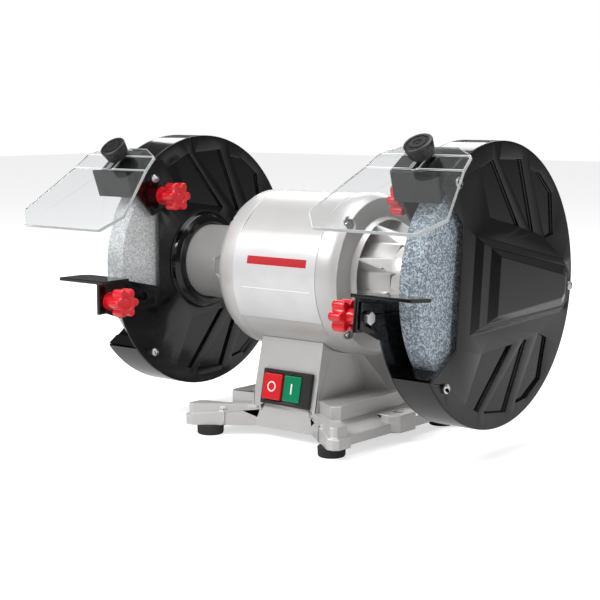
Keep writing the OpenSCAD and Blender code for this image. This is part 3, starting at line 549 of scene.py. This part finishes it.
# height over the button's face, and the share by which the edge is rounded off there
MARK_LEVELS = ((-0.15 * MM, 0.0), (0.22 * MM, 0.0), (0.32 * MM, 0.06))
FACE_DEPTH = 2e-5


def face_frame(node, outward):
    """Centre of a button's front face, with the directions across and up it."""
    top = along(node, outward)[1]
    front = [vertex.co for vertex in nodes[node].data.vertices if vertex.co.dot(outward) > top - FACE_DEPTH]
    low = Vector([min(point[i] for point in front) for i in range(3)])
    high = Vector([max(point[i] for point in front) for i in range(3)])
    across_face = Vector((1.0, 0.0, 0.0))
    return (low + high) / 2, across_face, outward.cross(across_face)


def raised(name, outer, inner, button):
    """A thin raised mark on a button: a closed outline, with an inner one where it is a ring."""
    centre, x, up = face_frame(button, outward)
    bm = bmesh.new()

    def wall(outline, grows):
        """Rows up the outline; its top grows by the rounding, or shrinks where grows is -1."""
        return tube(bm, [[centre + (x * px + up * py) * (1 + grows * rounding) + outward * height
                          for px, py in outline] for height, rounding in MARK_LEVELS])

    outside = wall(outer, -1)
    if inner:
        inside = wall(inner, 1)
        for i in range(len(outer)):
            j = (i + 1) % len(outer)
            for row_out, row_in in ((outside[0], inside[0]), (outside[-1], inside[-1])):
                bm.faces.new((row_out[i], row_out[j], row_in[j], row_in[i]))
    else:
        bm.faces.new(outside[0])
        bm.faces.new(outside[-1])
    new_piece(name, finish_mesh(name, bm, 30.0), button, print_white)


def circle(r, steps=64):
    return [(r * math.cos(2 * math.pi * i / steps), r * math.sin(2 * math.pi * i / steps))
            for i in range(steps)]


def stadium(width, height, steps=24):
    """An upright bar with round ends."""
    r = width / 2
    top = [(r * math.cos(math.pi * i / steps), height / 2 - r + r * math.sin(math.pi * i / steps))
           for i in range(steps + 1)]
    return top + [(-px, -py) for px, py in top]


outward = -Vector(joints["stop_press"]["axis"]).normalized()
raised("stop_mark", circle(4.6 * MM), circle(3.5 * MM), "stop_button")
raised("start_mark", stadium(1.5 * MM, 9.5 * MM), None, "start_button")


# ---- cast webs that close the corners between the pedestal, the deck and the front blocks ----

# outline in mm from the shaft's middle, seen from above, on the right side
WEB = ((31.5, -47.0), (31.5, -55.5), (40.0, -59.0), (57.0, -64.0), (57.0, -60.0), (33.0, -45.0))
WEB_LOW, WEB_HIGH = 10 * MM, 27.2 * MM
WEB_ROUND = 0.8 * MM


def web(side):
    sign = 1 if side == "right" else -1
    bm = bmesh.new()
    ends = tube(bm, [[(sign * px * MM, shaft_y + py * MM, z) for px, py in WEB] for z in (WEB_LOW, WEB_HIGH)])
    for end in ends:
        bm.faces.new(end)
    piece = like_node(side + "_corner_web", finish_mesh(side + "_corner_web", bm, 30.0), "base")
    bevel = piece.modifiers.new("ease", "BEVEL")
    bevel.width = WEB_ROUND
    bevel.segments = EASE_SEGMENTS


for side in SIDES:
    web(side)


# ---- studio ----

FLOOR_HALF = 6.0
FLOOR_GREY = (0.62, 0.62, 0.62)
FLOOR_GLOW = 0.62
WORLD_SEEN = 1.0
WORLD_LIGHT = 0.40
WORLD_MIRRORED = 0.14


def seen_directly(tree, path):
    """1 for rays from the camera or through the clear shields, 0 for the rest."""
    return calculate(tree, "MAXIMUM", path.outputs["Is Camera Ray"], path.outputs["Is Transmission Ray"])


def stage_material(name, col, glow):
    """A pale diffuse surface that looks brighter to the camera, directly or through the shields."""
    mat = bpy.data.materials.new(name)
    mat.use_nodes = True
    tree = mat.node_tree
    tree.nodes.clear()
    out = tree.nodes.new("ShaderNodeOutputMaterial")
    diffuse = tree.nodes.new("ShaderNodeBsdfDiffuse")
    diffuse.inputs["Color"].default_value = (*col, 1.0)
    light = tree.nodes.new("ShaderNodeEmission")
    path = tree.nodes.new("ShaderNodeLightPath")
    feed(tree, calculate(tree, "MULTIPLY", seen_directly(tree, path), glow), light.inputs["Strength"])
    both = tree.nodes.new("ShaderNodeAddShader")
    feed(tree, diffuse.outputs[0], both.inputs[0])
    feed(tree, light.outputs[0], both.inputs[1])
    feed(tree, both.outputs[0], out.inputs["Surface"])
    return mat


def studio_world(scene):
    """A white world: full strength where it is seen, weaker as light, weakest in reflections."""
    world = bpy.data.worlds.new("studio")
    scene.world = world
    world.use_nodes = True
    tree = world.node_tree
    background = tree.nodes["Background"]
    background.inputs["Color"].default_value = (1.0, 1.0, 1.0, 1.0)
    path = tree.nodes.new("ShaderNodeLightPath")
    seen = calculate(tree, "MULTIPLY", seen_directly(tree, path), WORLD_SEEN - WORLD_LIGHT)
    mirrored = calculate(tree, "MULTIPLY", path.outputs["Is Glossy Ray"], WORLD_LIGHT - WORLD_MIRRORED)
    level = calculate(tree, "ADD", seen, WORLD_LIGHT)
    feed(tree, calculate(tree, "SUBTRACT", level, mirrored), background.inputs["Strength"])


def lamp(scene, name, place, target, size, power):
    data = bpy.data.lights.new(name, "AREA")
    data.shape = "RECTANGLE"
    data.size, data.size_y = size
    data.energy = power
    obj = bpy.data.objects.new(name, data)
    scene.collection.objects.link(obj)
    obj.location = place
    obj.rotation_euler = (Vector(target) - Vector(place)).to_track_quat("-Z", "Y").to_euler()


CAMERA_AZIMUTH, CAMERA_ELEVATION = math.radians(39.55), math.radians(7.48)
LENS_MM, SENSOR_MM = 88.8, 36.0
CAMERA_PLACE = (0.8197, shaft_y - 1.0260, 0.2907)


def photo_camera(scene):
    """The camera at the photograph's viewing angle."""
    data = bpy.data.cameras.new("camera")
    data.lens = LENS_MM
    data.sensor_width = SENSOR_MM
    camera = bpy.data.objects.new("camera", data)
    scene.collection.objects.link(camera)
    camera.location = CAMERA_PLACE
    level = math.cos(CAMERA_ELEVATION)
    look = Vector((-math.sin(CAMERA_AZIMUTH) * level, math.cos(CAMERA_AZIMUTH) * level,
                   -math.sin(CAMERA_ELEVATION)))
    camera.rotation_euler = look.to_track_quat("-Z", "Y").to_euler()
    scene.camera = camera


floor_mesh = bpy.data.meshes.new("floor")
corners = [(x * FLOOR_HALF, y * FLOOR_HALF, 0) for x, y in ((-1, -1), (1, -1), (1, 1), (-1, 1))]
floor_mesh.from_pydata(corners, [], [(0, 1, 2, 3)])
floor = bpy.data.objects.new("floor", floor_mesh)
bpy.context.scene.collection.objects.link(floor)
floor_mesh.materials.append(stage_material("floor_pale", FLOOR_GREY, FLOOR_GLOW))

scene = bpy.context.scene
studio_world(scene)
aim = (0.0, shaft_y, shaft_z)
lamp(scene, "key", (-0.7, -1.5, 1.5), aim, (1.1, 0.8), 36)
lamp(scene, "fill", (1.9, -0.9, 0.9), aim, (0.4, 1.4), 14)
lamp(scene, "top", (0.1, 0.1, 1.8), aim, (1.6, 0.9), 22)
lamp(scene, "rim", (-0.9, 1.4, 1.1), aim, (1.4, 0.6), 10)
photo_camera(scene)
scene.view_settings.view_transform = "Standard"
